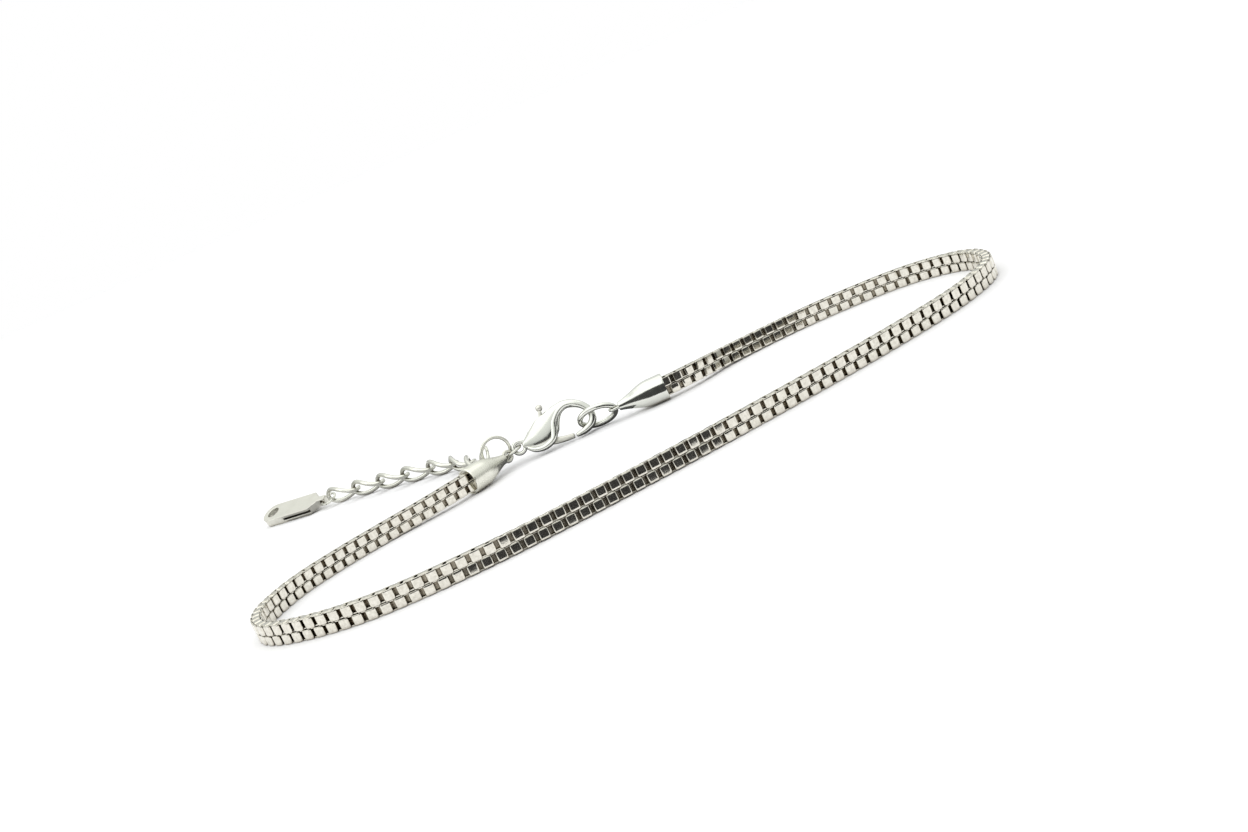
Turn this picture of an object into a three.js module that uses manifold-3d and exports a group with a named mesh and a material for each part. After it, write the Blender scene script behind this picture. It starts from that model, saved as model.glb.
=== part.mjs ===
// A double-row box chain bracelet, closed by a lobster clasp, with an extension chain and its end tag.
// Millimetres, +Z up. The loop stands on its edge on the plane z = 0, its long way along X, and the
// clasp and extension chain are on the +Y side. The origin is under the middle of the whole bracelet.

import * as THREE from 'three';
import { mergeVertices } from 'three/addons/utils/BufferGeometryUtils.js';
import Module from 'manifold-3d';

const wasm = await Module();
wasm.setup();

// Driving dimensions of the chain band
const ROW_HEIGHT = 1.0;
const BAND_HEIGHT = 2 * ROW_HEIGHT;
const BOX_HALF_DEPTH = 0.55;
const CORE_HALF_DEPTH = 0.33;
const SEAM_GAP = 0.16;
const BOX_COUNT = 124;

// How far the loop is set over in plan, so that the whole bracelet, its tail too, is centred on the origin
const PLAN_SHIFT = { x: 2.52, y: -12.36 };

// The chain's route from inside the left cap round to inside the right one: where its middle line runs
// in plan, and how far its lower edge is lifted off the ground as it climbs into the caps
const CHAIN_ROUTE = [
  { x: -15.73, y: 11.7, rise: 0.42 },
  { x: -17.2, y: 10.51, rise: 0.42 },
  { x: -19.05, y: 9.47, rise: 0.38 },
  { x: -22.2, y: 8.35, rise: 0.22 },
  { x: -26.2, y: 7.05, rise: 0.05 },
  { x: -30.6, y: 4.75, rise: 0 },
  { x: -35.0, y: 1.0, rise: 0 },
  { x: -37.5, y: -4.6, rise: 0 },
  { x: -36.3, y: -10.6, rise: 0 },
  { x: -31.4, y: -15.0, rise: 0 },
  { x: -24.4, y: -17.5, rise: 0 },
  { x: -14.0, y: -17.3, rise: 0 },
  { x: -1.0, y: -14.5, rise: 0 },
  { x: 12.0, y: -10.7, rise: 0 },
  { x: 24.7, y: -6.0, rise: 0 },
  { x: 33.6, y: -1.2, rise: 0 },
  { x: 38.2, y: 4.6, rise: 0 },
  { x: 37.8, y: 12.0, rise: 0 },
  { x: 32.0, y: 17.3, rise: 0 },
  { x: 22.0, y: 18.8, rise: 0 },
  { x: 13.4, y: 17.3, rise: 0.08 },
  { x: 8.4, y: 14.65, rise: 0.4 },
  { x: 5.4, y: 13.97, rise: 0.42 },
  { x: 3.7, y: 14.06, rise: 0.42 },
];

// Bell caps: outside radius along the cap from its mouth, and the socket that takes the chain's end
const CAP_PROFILE = [
  { along: 0, radius: 1.36 },
  { along: 0.12, radius: 1.42 },
  { along: 1.6, radius: 1.41 },
  { along: 2.3, radius: 1.33 },
  { along: 3.1, radius: 1.1 },
  { along: 3.9, radius: 0.82 },
  { along: 4.6, radius: 0.6 },
  { along: 5.2, radius: 0.46 },
];
const CAP_SOCKET = { radius: 1.25, depth: 2.0 };
const CAP_EYE = { radius: 0.56, wire: 0.3, stand: 0.5 };
const CAP_AXIS_HEIGHT = 1.42;
const LEFT_CAP = { tip: [-12.98, 13.93], heading: 39 };
const RIGHT_CAP = { tip: [-0.05, 14.25], heading: 177 };

// Lobster clasp: it stands on its lower edge and leans back, and its flat plane has U to the right and
// V up the lean. Each row of the table is one section of the body, from the eye round to the hook's tip.
const CLASP_LEAN = 20;
const CLASP_FOOT = { y: 14.25, z: 0.14 };
const CLASP_BODY = [
  { u: -10.62, v: 1.6, turn: 0, half: 0.4, depth: 0.3 },
  { u: -10.2, v: 1.64, turn: 0, half: 0.68, depth: 0.42 },
  { u: -9.4, v: 1.68, turn: 6, half: 1.22, depth: 0.58 },
  { u: -8.35, v: 1.95, turn: 14, half: 1.58, depth: 0.66 },
  { u: -7.45, v: 2.5, turn: 26, half: 1.38, depth: 0.66 },
  { u: -6.7, v: 3.18, turn: 32, half: 0.93, depth: 0.6 },
  { u: -5.95, v: 3.66, turn: 24, half: 0.56, depth: 0.55 },
  { u: -5.15, v: 3.85, turn: 0, half: 0.4, depth: 0.52 },
  { u: -4.35, v: 3.65, turn: -26, half: 0.35, depth: 0.5 },
  { u: -3.55, v: 3.1, turn: -46, half: 0.35, depth: 0.48 },
  { u: -3.05, v: 2.3, turn: -70, half: 0.37, depth: 0.46 },
  { u: -2.95, v: 1.45, turn: -95, half: 0.4, depth: 0.44 },
  { u: -3.38, v: 0.82, turn: -128, half: 0.42, depth: 0.42 },
  { u: -4.1, v: 0.48, turn: -158, half: 0.36, depth: 0.38 },
  { u: -4.75, v: 0.36, turn: -174, half: 0.29, depth: 0.3 },
  { u: -5.15, v: 0.34, turn: -180, half: 0.22, depth: 0.2 },
];
const CLASP_EYE = { u: -11.15, v: 1.6, radius: 0.63, wire: 0.42 };
const CLASP_SLOT = { left: -9.65, right: -6.7, low: -0.5, high: 5.2, width: 0.56 };
const PIVOT = { u: -8.3, v: 1.05, pin: 0.2, hole: 0.29, rooted: 0.05 };
const LEVER_HALF_DEPTH = 0.2;
const LEVER_HUB = 0.52;
const GATE_ARM = [
  { u: -8.3, v: 1.05, turn: -22, half: 0.44 },
  { u: -7.4, v: 0.7, turn: -18, half: 0.37 },
  { u: -6.5, v: 0.5, turn: -10, half: 0.31 },
  { u: -5.5, v: 0.4, turn: -5, half: 0.27 },
];
const TAB_ARM = [
  { u: -8.3, v: 1.05, turn: 82, half: 0.3 },
  { u: -8.05, v: 2.8, turn: 80, half: 0.22 },
  { u: -7.75, v: 4.2, turn: 78, half: 0.2 },
];
const TAB_KNOB = { u: -7.68, v: 4.5, radius: 0.38 };

// Plain rings: middle point, radius of the wire's middle line, wire thickness, the plan direction that
// the ring's plane holds, and how far that plane leans over towards the front
const RINGS = [
  { name: 'joint_ring', x: -12, y: 15.2, z: 1.56, radius: 1.0, wire: 0.28, heading: 92.7, lean: 79.8 },
  { name: 'tail_ring_1', x: -13.54, y: 15.11, z: 2.21, radius: 1.5, wire: 0.35, heading: 11, lean: 0.7 },
  { name: 'tail_ring_2', x: -15.1, y: 15.84, z: 1.61, radius: 1.5, wire: 0.35, heading: 107, lean: 26.3 },
];

// Oval link between the hook and the right cap's eye
const OVAL_LINK = {
  x: -2.44, y: 14.62, z: 1.39, length: 3.9, height: 2.3, wire: 0.56, heading: -9.4, lean: 28.5,
};

// Extension chain: twisted oval links, each turned a quarter between its two ends, and the way each heads
const CURB = { length: 4.7, width: 2.2, wire: 0.5, pitch: 4.05, axisHeight: 1.17 };
const CURB_START = { x: -15.48, y: 16.46 };
const CURB_HEADINGS = [110, 121, 134, 143, 142, 143, 146];
const TAG_RING = { radius: 0.9, wire: 0.28, slack: 0.06 };

// End tag: a strip folded round the tag ring, its two layers closed at the outer end round a hole
const TAG = {
  length: 9.8, width: 2.9, thickness: 0.96, heading: 148, roll: 20, hole: 0.62, holeInset: 1.45,
};
const TAG_NECK = { length: 1.0, width: 0.8, eye: 0.3, eyeInset: 0.46 };
const TAG_SLOT = { from: 1.9, to: 6.2, height: 0.22 };

// How finely round parts are faceted
const RING_SIDES = 6;
const RING_STEPS = 16;
const LINK_STEPS = 20;
const BODY_SIDES = 12;
const EYE_SIDES = 8;
const EYE_STEPS = 20;
const ARM_SIDES = 8;
const KNOB_SIDES = 10;
const PIN_SIDES = 10;
const HOLE_SIDES = 12;
const HUB_SIDES = 16;
const TAG_CURVE_STEPS = 8;
const CAP_SIDES = 24;
const ROUTE_DIVISIONS = 4000;
const MERGE_WITHIN = 1e-5;

const rad = THREE.MathUtils.degToRad;

function steel(color, roughness) {
  return new THREE.MeshStandardMaterial({ color, roughness, metalness: 1 });
}

const chainSteel = steel(0xd9d6cc, 0.18);
const polishedSteel = steel(0xe2e1dc, 0.12);
const wireSteel = steel(0xd2d0c8, 0.25);

// Solids and geometries

function toSolid(geometry) {
  const bare = geometry.clone();
  bare.deleteAttribute('normal');
  bare.deleteAttribute('uv');
  const merged = mergeVertices(bare, MERGE_WITHIN);
  return new wasm.Manifold(new wasm.Mesh({
    numProp: 3,
    vertProperties: merged.attributes.position.array,
    triVerts: new Uint32Array(merged.index.array),
  }));
}

function toGeometry(solid) {
  const mesh = solid.getMesh();
  const geometry = new THREE.BufferGeometry();
  geometry.setAttribute('position', new THREE.BufferAttribute(mesh.vertProperties, 3));
  geometry.setIndex(new THREE.BufferAttribute(mesh.triVerts, 1));
  return geometry;
}

function geometryFrom(points, triangles) {
  const geometry = new THREE.BufferGeometry();
  const positions = points.flatMap((point) => point.toArray());
  geometry.setAttribute('position', new THREE.Float32BufferAttribute(positions, 3));
  geometry.setIndex(triangles);
  return geometry;
}

// A skin over rings of points, all with the same count and turning the same way. An open skin is closed
// by a fan over each end.
function skin(rings, closed) {
  const count = rings[0].length;
  const points = rings.flat();
  const triangles = [];
  const last = closed ? rings.length : rings.length - 1;
  for (let i = 0; i < last; i += 1) {
    const here = i * count;
    const next = ((i + 1) % rings.length) * count;
    for (let j = 0; j < count; j += 1) {
      const k = (j + 1) % count;
      triangles.push(here + j, next + k, next + j, here + j, here + k, next + k);
    }
  }
  if (!closed) {
    const end = (rings.length - 1) * count;
    for (let j = 1; j < count - 1; j += 1) {
      triangles.push(0, j + 1, j, end, end + j, end + j + 1);
    }
  }
  return geometryFrom(points, triangles);
}

// One oval ring of points round a middle, in the plane of two unit directions
function ovalRing(middle, first, second, firstHalf, secondHalf, sides) {
  return Array.from({ length: sides }, (_, j) => {
    const angle = (2 * Math.PI * j) / sides;
    return middle.clone()
      .addScaledVector(first, firstHalf * Math.cos(angle))
      .addScaledVector(second, secondHalf * Math.sin(angle));
  });
}

// A closed wire loop along a curve given as a function of an angle, with the way out from its middle
function wireLoop(pointAt, outwardAt, wire, steps) {
  const nudge = 1e-3;
  const rings = Array.from({ length: steps }, (_, i) => {
    const angle = (2 * Math.PI * i) / steps;
    const along = pointAt(angle + nudge).sub(pointAt(angle - nudge)).normalize();
    const side = new THREE.Vector3().crossVectors(along, outwardAt(angle)).normalize();
    const out = new THREE.Vector3().crossVectors(side, along);
    return ovalRing(pointAt(angle), out, side, wire / 2, wire / 2, RING_SIDES);
  });
  return skin(rings, true);
}

const group = new THREE.Group();
group.position.set(PLAN_SHIFT.x, PLAN_SHIFT.y, 0);

function add(name, geometry, material, place = group) {
  const mesh = new THREE.Mesh(geometry, material);
  mesh.name = name;
  place.add(mesh);
  return mesh;
}

// Chain band: the two rows of boxes stand proud of a thin core by turns, half a box apart

function chainStations() {
  const middle = CHAIN_ROUTE.map(({ x, y, rise }) => new THREE.Vector3(x, y, rise));
  const curve = new THREE.CatmullRomCurve3(middle, false, 'catmullrom', 0.5);
  curve.arcLengthDivisions = ROUTE_DIVISIONS;
  return Array.from({ length: 2 * BOX_COUNT + 1 }, (_, i) => {
    const share = i / (2 * BOX_COUNT);
    const along = curve.getTangentAt(share);
    const foot = curve.getPointAt(share);
    foot.setZ(Math.max(foot.z, 0));
    return { foot, side: new THREE.Vector3(-along.y, along.x, 0).normalize() };
  });
}

function chainBand() {
  const stations = chainStations();
  const depths = [-BOX_HALF_DEPTH, -CORE_HALF_DEPTH, CORE_HALF_DEPTH, BOX_HALF_DEPTH];
  const levels = [0, ROW_HEIGHT - SEAM_GAP / 2, ROW_HEIGHT + SEAM_GAP / 2, BAND_HEIGHT];
  const points = stations.flatMap(({ foot, side }) => depths.flatMap((depth) => levels.map((level) =>
    foot.clone().addScaledVector(side, depth).add(new THREE.Vector3(0, 0, level)))));
  const corner = (i, j, k) => (i * depths.length + j) * levels.length + k;
  const filled = (i, j, k) => {
    if (i < 0 || i > stations.length - 2 || j < 0 || j > 2 || k < 0 || k > 2) return false;
    const core = j === 1;
    const box = k === (i % 2 === 0 ? 0 : 2);
    return core || box;
  };
  const triangles = [];
  const face = (a, b, c, d) => triangles.push(a, b, c, a, c, d);
  for (let i = 0; i < stations.length - 1; i += 1) {
    for (let j = 0; j < 3; j += 1) {
      for (let k = 0; k < 3; k += 1) {
        if (!filled(i, j, k)) continue;
        const at = (di, dj, dk) => corner(i + di, j + dj, k + dk);
        if (!filled(i - 1, j, k)) face(at(0, 0, 0), at(0, 0, 1), at(0, 1, 1), at(0, 1, 0));
        if (!filled(i + 1, j, k)) face(at(1, 0, 0), at(1, 1, 0), at(1, 1, 1), at(1, 0, 1));
        if (!filled(i, j - 1, k)) face(at(0, 0, 0), at(1, 0, 0), at(1, 0, 1), at(0, 0, 1));
        if (!filled(i, j + 1, k)) face(at(0, 1, 0), at(0, 1, 1), at(1, 1, 1), at(1, 1, 0));
        if (!filled(i, j, k - 1)) face(at(0, 0, 0), at(0, 1, 0), at(1, 1, 0), at(1, 0, 0));
        if (!filled(i, j, k + 1)) face(at(0, 0, 1), at(1, 0, 1), at(1, 1, 1), at(0, 1, 1));
      }
    }
  }
  return mergeVertices(geometryFrom(points, triangles).toNonIndexed(), MERGE_WITHIN);
}

add('chain_band', chainBand(), chainSteel);

// Bell caps: turned about their own axis, which is +Y before the cap is laid down

function bellCap(eyeTurn) {
  const outside = CAP_PROFILE.map(({ along, radius }) => new THREE.Vector2(radius, along));
  const length = CAP_PROFILE.at(-1).along;
  const profile = [
    new THREE.Vector2(0, CAP_SOCKET.depth),
    new THREE.Vector2(CAP_SOCKET.radius, CAP_SOCKET.depth),
    new THREE.Vector2(CAP_SOCKET.radius, 0),
    ...outside,
    new THREE.Vector2(0, length),
  ];
  const bell = toSolid(new THREE.LatheGeometry(profile, CAP_SIDES));
  const eye = new THREE.TorusGeometry(CAP_EYE.radius, CAP_EYE.wire / 2, RING_SIDES, RING_STEPS);
  eye.rotateY(eyeTurn);
  eye.translate(0, length + CAP_EYE.stand, 0);
  return toGeometry(bell.add(toSolid(eye)));
}

function addCap(name, { tip, heading }, eyeTurn) {
  const place = new THREE.Group();
  const length = CAP_PROFILE.at(-1).along;
  const back = new THREE.Vector2(Math.cos(rad(heading)), Math.sin(rad(heading))).multiplyScalar(length);
  place.position.set(tip[0] - back.x, tip[1] - back.y, CAP_AXIS_HEIGHT);
  place.rotation.set(0, 0, rad(heading - 90));
  group.add(place);
  add(name, bellCap(eyeTurn), polishedSteel, place);
}

addCap('cap_left', LEFT_CAP, Math.PI / 2);
addCap('cap_right', RIGHT_CAP, 0);

// Lobster clasp, drawn flat in U and V with its thickness along W, then leant back

const claspPlace = new THREE.Group();
claspPlace.position.set(0, CLASP_FOOT.y, CLASP_FOOT.z);
claspPlace.rotation.set(rad(90 - CLASP_LEAN), 0, 0);
group.add(claspPlace);

const W = new THREE.Vector3(0, 0, 1);

function claspLoft(rows, sides) {
  return skin(rows.map(({ u, v, turn, half, depth }) => {
    const across = new THREE.Vector3(-Math.sin(rad(turn)), Math.cos(rad(turn)), 0);
    return ovalRing(new THREE.Vector3(u, v, 0), across, W, half, depth, sides);
  }), false);
}

function pivotPeg(radius, length, sides) {
  const peg = new THREE.CylinderGeometry(radius, radius, length, sides);
  peg.rotateX(Math.PI / 2);
  peg.translate(PIVOT.u, PIVOT.v, 0);
  return toSolid(peg);
}

function claspBody() {
  const { left, right, low, high, width } = CLASP_SLOT;
  const eye = new THREE.TorusGeometry(CLASP_EYE.radius, CLASP_EYE.wire / 2, EYE_SIDES, EYE_STEPS);
  eye.translate(CLASP_EYE.u, CLASP_EYE.v, 0);
  const slot = new THREE.BoxGeometry(right - left, high - low, width);
  slot.translate((left + right) / 2, (low + high) / 2, 0);
  const slotted = toSolid(claspLoft(CLASP_BODY, BODY_SIDES)).subtract(toSolid(slot));
  const pin = pivotPeg(PIVOT.pin, width + 2 * PIVOT.rooted, PIN_SIDES);
  return toGeometry(slotted.add(toSolid(eye)).add(pin));
}

function claspLever() {
  const flat = (rows) => rows.map((row) => ({ ...row, depth: LEVER_HALF_DEPTH }));
  const thickness = 2 * LEVER_HALF_DEPTH;
  const knob = new THREE.SphereGeometry(TAB_KNOB.radius, KNOB_SIDES, ARM_SIDES);
  knob.translate(TAB_KNOB.u, TAB_KNOB.v, 0);
  return toGeometry(toSolid(claspLoft(flat(GATE_ARM), ARM_SIDES))
    .add(toSolid(claspLoft(flat(TAB_ARM), ARM_SIDES)))
    .add(pivotPeg(LEVER_HUB, thickness, HUB_SIDES))
    .add(toSolid(knob))
    .subtract(pivotPeg(PIVOT.hole, 2 * thickness, HOLE_SIDES)));
}

add('clasp_body', claspBody(), polishedSteel, claspPlace);
add('clasp_lever', claspLever(), polishedSteel, claspPlace);

// Rings and the oval link

function leaningPlace({ x, y, z, heading, lean }) {
  const turn = new THREE.Group();
  turn.position.set(x, y, z);
  turn.rotation.set(0, 0, rad(heading));
  const tilt = new THREE.Group();
  tilt.rotation.set(rad(90 + lean), 0, 0);
  turn.add(tilt);
  group.add(turn);
  return tilt;
}

for (const ring of RINGS) {
  const shape = new THREE.TorusGeometry(ring.radius, ring.wire / 2, RING_SIDES, RING_STEPS);
  add(ring.name, shape, wireSteel, leaningPlace(ring));
}

function ovalLink({ length, height, wire }) {
  const straight = (length - height) / 2;
  const outward = (angle) => new THREE.Vector3(Math.cos(angle), Math.sin(angle), 0);
  const pointAt = (angle) => outward(angle).multiplyScalar(height / 2)
    .add(new THREE.Vector3(straight * Math.cos(angle), 0, 0));
  return wireLoop(pointAt, outward, wire, LINK_STEPS);
}

add('oval_link', ovalLink(OVAL_LINK), polishedSteel, leaningPlace(OVAL_LINK));

// Extension chain

function curbLink() {
  const half = CURB.length / 2;
  const twistAt = (x) => rad(45) * (1 + x / half);
  const outward = (angle) => {
    const turn = twistAt(half * Math.cos(angle));
    const sin = Math.sin(angle);
    return new THREE.Vector3(Math.cos(angle), sin * Math.cos(turn), sin * Math.sin(turn));
  };
  const pointAt = (angle) => outward(angle)
    .multiply(new THREE.Vector3(half, CURB.width / 2, CURB.width / 2));
  return wireLoop(pointAt, outward, CURB.wire, LINK_STEPS);
}

function addHeaded(name, geometry, material, at, heading) {
  const mesh = add(name, geometry, material);
  mesh.position.copy(at);
  mesh.rotation.set(0, 0, rad(heading));
}

function headingVector(degrees) {
  return new THREE.Vector3(Math.cos(rad(degrees)), Math.sin(rad(degrees)), 0);
}

const curbEnd = new THREE.Vector3(CURB_START.x, CURB_START.y, CURB.axisHeight);
const spare = (CURB.length - CURB.pitch) / 2;
CURB_HEADINGS.forEach((heading, i) => {
  const way = headingVector(heading);
  const middle = curbEnd.clone().addScaledVector(way, CURB.length / 2);
  addHeaded(`tail_link_${i + 1}`, curbLink(), wireSteel, middle, heading);
  const next = headingVector(CURB_HEADINGS[i + 1] ?? heading);
  curbEnd.addScaledVector(way, CURB.length - spare).addScaledVector(next, -spare);
});

// Tag ring, lying through the last link's upright end, and the folded tag whose neck closes round it.
// Both roll over towards the front, about the line through the neck and the ring's middle.

const tagRest = (TAG.thickness * Math.cos(rad(TAG.roll)) + TAG.width * Math.sin(rad(TAG.roll))) / 2;
const ringReach = TAG_RING.radius - TAG_RING.slack;
const tagHeading = new THREE.Group();
tagHeading.position.copy(curbEnd).addScaledVector(headingVector(TAG.heading), ringReach).setZ(tagRest);
tagHeading.rotation.set(0, 0, rad(TAG.heading));
group.add(tagHeading);
const tagPlace = new THREE.Group();
tagPlace.rotation.set(rad(-TAG.roll), 0, 0);
tagHeading.add(tagPlace);

function tagOutline() {
  const half = TAG.width / 2;
  const neck = TAG_NECK.width / 2;
  const shape = new THREE.Shape();
  shape.moveTo(0, -neck);
  shape.lineTo(TAG_NECK.length, -neck);
  shape.lineTo(TAG_NECK.length + half - neck, -half);
  shape.lineTo(TAG.length - half, -half);
  shape.absarc(TAG.length - half, 0, half, -Math.PI / 2, Math.PI / 2, false);
  shape.lineTo(TAG_NECK.length + half - neck, half);
  shape.lineTo(TAG_NECK.length, neck);
  shape.lineTo(0, neck);
  shape.closePath();
  const hole = new THREE.Path();
  hole.absarc(TAG.length - TAG.holeInset, 0, TAG.hole, 0, 2 * Math.PI, true);
  shape.holes.push(hole);
  return shape;
}

function tag() {
  const plate = new THREE.ExtrudeGeometry(tagOutline(), {
    depth: TAG.thickness, bevelEnabled: false, curveSegments: TAG_CURVE_STEPS,
  });
  plate.translate(0, 0, -TAG.thickness / 2);
  const slot = new THREE.BoxGeometry(TAG_SLOT.to - TAG_SLOT.from, 2 * TAG.width, TAG_SLOT.height);
  slot.translate((TAG_SLOT.from + TAG_SLOT.to) / 2, 0, 0);
  const eye = new THREE.CylinderGeometry(TAG_NECK.eye, TAG_NECK.eye, 2 * TAG_NECK.width, HOLE_SIDES);
  eye.translate(TAG_NECK.eyeInset, 0, 0);
  return toGeometry(toSolid(plate).subtract(toSolid(eye)).subtract(toSolid(slot)));
}

const tagRing = new THREE.TorusGeometry(TAG_RING.radius, TAG_RING.wire / 2, RING_SIDES, RING_STEPS);
add('tag_ring', tagRing, wireSteel, tagPlace);
const tagMesh = add('tag', tag(), polishedSteel, tagPlace);
tagMesh.position.set(ringReach - TAG_NECK.eyeInset, 0, 0);

export default group;
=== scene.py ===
# A double-row box chain bracelet with bell end caps, a lobster clasp and an extension chain with a tag.
# The tables below are in millimetres and degrees, in the plan frame of the solids, and PLAN_SHIFT brings
# that frame onto the row frame. Meshes are worked out in millimetres, and mesh_piece scales them to metres.

import math

import bmesh
import bpy
import numpy as np
from mathutils import Euler, Matrix, Vector


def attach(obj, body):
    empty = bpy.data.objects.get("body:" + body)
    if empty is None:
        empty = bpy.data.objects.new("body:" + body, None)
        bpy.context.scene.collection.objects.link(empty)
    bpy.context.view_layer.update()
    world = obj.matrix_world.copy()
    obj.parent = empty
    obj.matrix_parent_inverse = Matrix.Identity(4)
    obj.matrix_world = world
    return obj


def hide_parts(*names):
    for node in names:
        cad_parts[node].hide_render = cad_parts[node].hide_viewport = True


MM = 0.001
FULL_TURN = 2 * math.pi
PLAN_SHIFT = (2.52, -12.36)

# How near its axis a turned form starts and ends, as a radius or, for a ball, as an angle in radians
NEAR_AXIS = 0.001

# Edges sharper than this are shaded as edges or rounded
SHARP_ANGLE = 50

# Chain: its two rows, and their route as plan x, plan y and rise. A link takes its direction from the route a
# little before and after its middle, by LOOK_ALONG as a share of its step.
ROW_HEIGHT = 1.0
BOX_COUNT = 124
LINK_COUNT = 2 * BOX_COUNT
CHAIN_ROUTE = [
    (-15.73, 11.7, 0.42), (-17.2, 10.51, 0.42), (-19.05, 9.47, 0.38), (-22.2, 8.35, 0.22),
    (-26.2, 7.05, 0.05), (-30.6, 4.75, 0), (-35.0, 1.0, 0), (-37.5, -4.6, 0),
    (-36.3, -10.6, 0), (-31.4, -15.0, 0), (-24.4, -17.5, 0), (-14.0, -17.3, 0),
    (-1.0, -14.5, 0), (12.0, -10.7, 0), (24.7, -6.0, 0), (33.6, -1.2, 0),
    (38.2, 4.6, 0), (37.8, 12.0, 0), (32.0, 17.3, 0), (22.0, 18.8, 0),
    (13.4, 17.3, 0.08), (8.4, 14.65, 0.4), (5.4, 13.97, 0.42), (3.7, 14.06, 0.42),
]
ROUTE_STEPS = 400
LOOK_ALONG = 0.1

# Square links of flat strip: flat ones, whose mirror faces show, and upright ones with a thin web across the
# opening, a dark sheet of painted shade
LINK_WALL = 0.13
FLAT_LINK = {"length": 0.96, "depth": 1.1, "corner": 0.2, "end_strip": 0.64, "face_strip": 0.94}
UPRIGHT_LINK = {"length": 1.04, "depth": 0.98, "corner": 0.2, "end_strip": 0.62, "face_strip": 0.72}
SHADE_WEB = 0.06
LINK_CORNER_STEPS = 5

# Finishes of the flat links, of the upright links and of their webs, whose finish is painted shade with paler
# painted glints
CHAIN_FINISHES = ("chain_steel_mirror", "chain_steel_upright", "chain_web_painted_shade")

# The strip of a link: its rounded edges, how soon it widens round a corner, and the low crown of its outer
# side, with the share of the width that is flat there and how far the normals at its rims lean
STRIP_EDGE = 0.04
STRIP_WIDENING = 1.8
STRIP_CROWN = {"rise": 0.03, "flat": 0.6, "lean": 0.02}

# Each link is a little out of line: these angles, in this order, are multiplied by random numbers
LINK_WOBBLE = {"roll": 1.2, "pitch": 1.2, "yaw": 1.6}
WOBBLE_SPREAD = 0.6

# Stretches where the links lean back: their rows, the middle and half width of the stretch along the route,
# and the roll. It fades at the ends of the stretch, the faster the higher LEAN_FADE is.
LEANT_BACK = [
    {"rows": (0,), "middle": 68.0, "half": 13.8, "degrees": -10.0},
    {"rows": (1,), "middle": 70.3, "half": 11.3, "degrees": -10.0},
    {"rows": (0, 1), "middle": 150.3, "half": 6.3, "degrees": 7.5},
]
LEAN_FADE = 8

# Bell caps: (along, radius) from the mouth, the socket with its disc of solder, the rounding of the mouth's
# lip and of the tip, the eye, and how each cap lies
CAP_PROFILE = [
    (0, 1.36), (0.12, 1.42), (1.6, 1.41), (2.3, 1.33), (3.1, 1.1), (3.9, 0.82), (4.6, 0.6), (5.2, 0.46),
]
CAP_STEPS = 10
CAP_SIDES = 96
CAP_SHARP_ANGLE = 40
CAP_SOCKET = {"radius": 1.25, "solder_depth": 0.2}
CAP_LIP = 0.03
CAP_TIP = {"along": 0.04, "inward": 0.05, "end": 0.06}
CAP_AXIS_HEIGHT = 1.42
CAP_EYE = {"radius": 0.56, "wire": 0.3, "stand": 0.5, "steps": 48, "sides": 16}
CAPS = [
    {"name": "cap_left", "tip": (-12.98, 13.93), "heading": 39, "eye_turn": 90,
     "finish": "polished_steel_worn"},
    {"name": "cap_right", "tip": (-0.05, 14.25), "heading": 177, "eye_turn": 0,
     "finish": "polished_steel_soft"},
]

# Lobster clasp, flat in U and V: (u, v, turn, half height, half depth) of each section
CLASP_LEAN = 20
CLASP_FOOT = {"y": 14.25, "z": 0.14}
CLASP_BODY = [
    (-10.62, 1.6, 0, 0.4, 0.3), (-10.2, 1.64, 0, 0.68, 0.42), (-9.4, 1.68, 6, 1.22, 0.58),
    (-8.35, 1.95, 14, 1.58, 0.66), (-7.45, 2.5, 26, 1.38, 0.66), (-6.7, 3.18, 32, 0.93, 0.6),
    (-5.98, 3.6, 24, 0.62, 0.55), (-5.17, 3.76, 0, 0.49, 0.52), (-4.4, 3.56, -26, 0.44, 0.5),
    (-3.6, 3.06, -46, 0.4, 0.48), (-3.05, 2.3, -70, 0.38, 0.46), (-2.95, 1.45, -95, 0.4, 0.44),
    (-3.38, 0.82, -128, 0.42, 0.42), (-4.1, 0.48, -158, 0.36, 0.38), (-4.75, 0.36, -174, 0.29, 0.3),
    (-5.15, 0.34, -180, 0.22, 0.2),
]
BODY_SECTION = {"sides": 40, "power": 2.3}
CLASP_EYE = {"u": -11.15, "v": 1.6, "radius": 0.63, "wire": 0.42, "steps": 56, "sides": 18}
CLASP_SLOT = {"left": -9.65, "right": -6.7, "low": -0.5, "high": 5.2, "width": 0.56, "round": 0.03}
PIVOT = {"u": -8.3, "v": 1.05, "pin": 0.2, "proud": 0.05}

# Steps from row to row of a smooth table, and how a loft's end is rounded: the (reach, size) of each of its
# sections, where DOME_REACH is the whole reach as a share of the end's half height or depth
LOFT_STEPS = 8
DOME = [(0.5, 0.87), (0.87, 0.5), (0.99, 0.12)]
DOME_REACH = 0.5

# The clasp's lever: (u, v, turn, half height) of each section of the gate and of the thumb tab
LEVER_HALF_DEPTH = 0.2
LEVER_HUB = 0.52
GATE_ARM = [
    (-8.3, 1.05, -22, 0.44), (-7.4, 0.7, -18, 0.37), (-6.5, 0.5, -10, 0.31), (-5.5, 0.4, -5, 0.27),
]
TAB_ARM = [(-8.3, 1.05, 82, 0.3), (-8.05, 2.8, 80, 0.22), (-7.75, 4.2, 78, 0.2)]
ARM_SECTION = {"sides": 32, "power": 3.2}
TAB_KNOB = {"u": -7.68, "v": 4.5, "radius": 0.38, "sides": 32}
DISC_SIDES = 48
DISC_EDGE = 0.04

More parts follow.
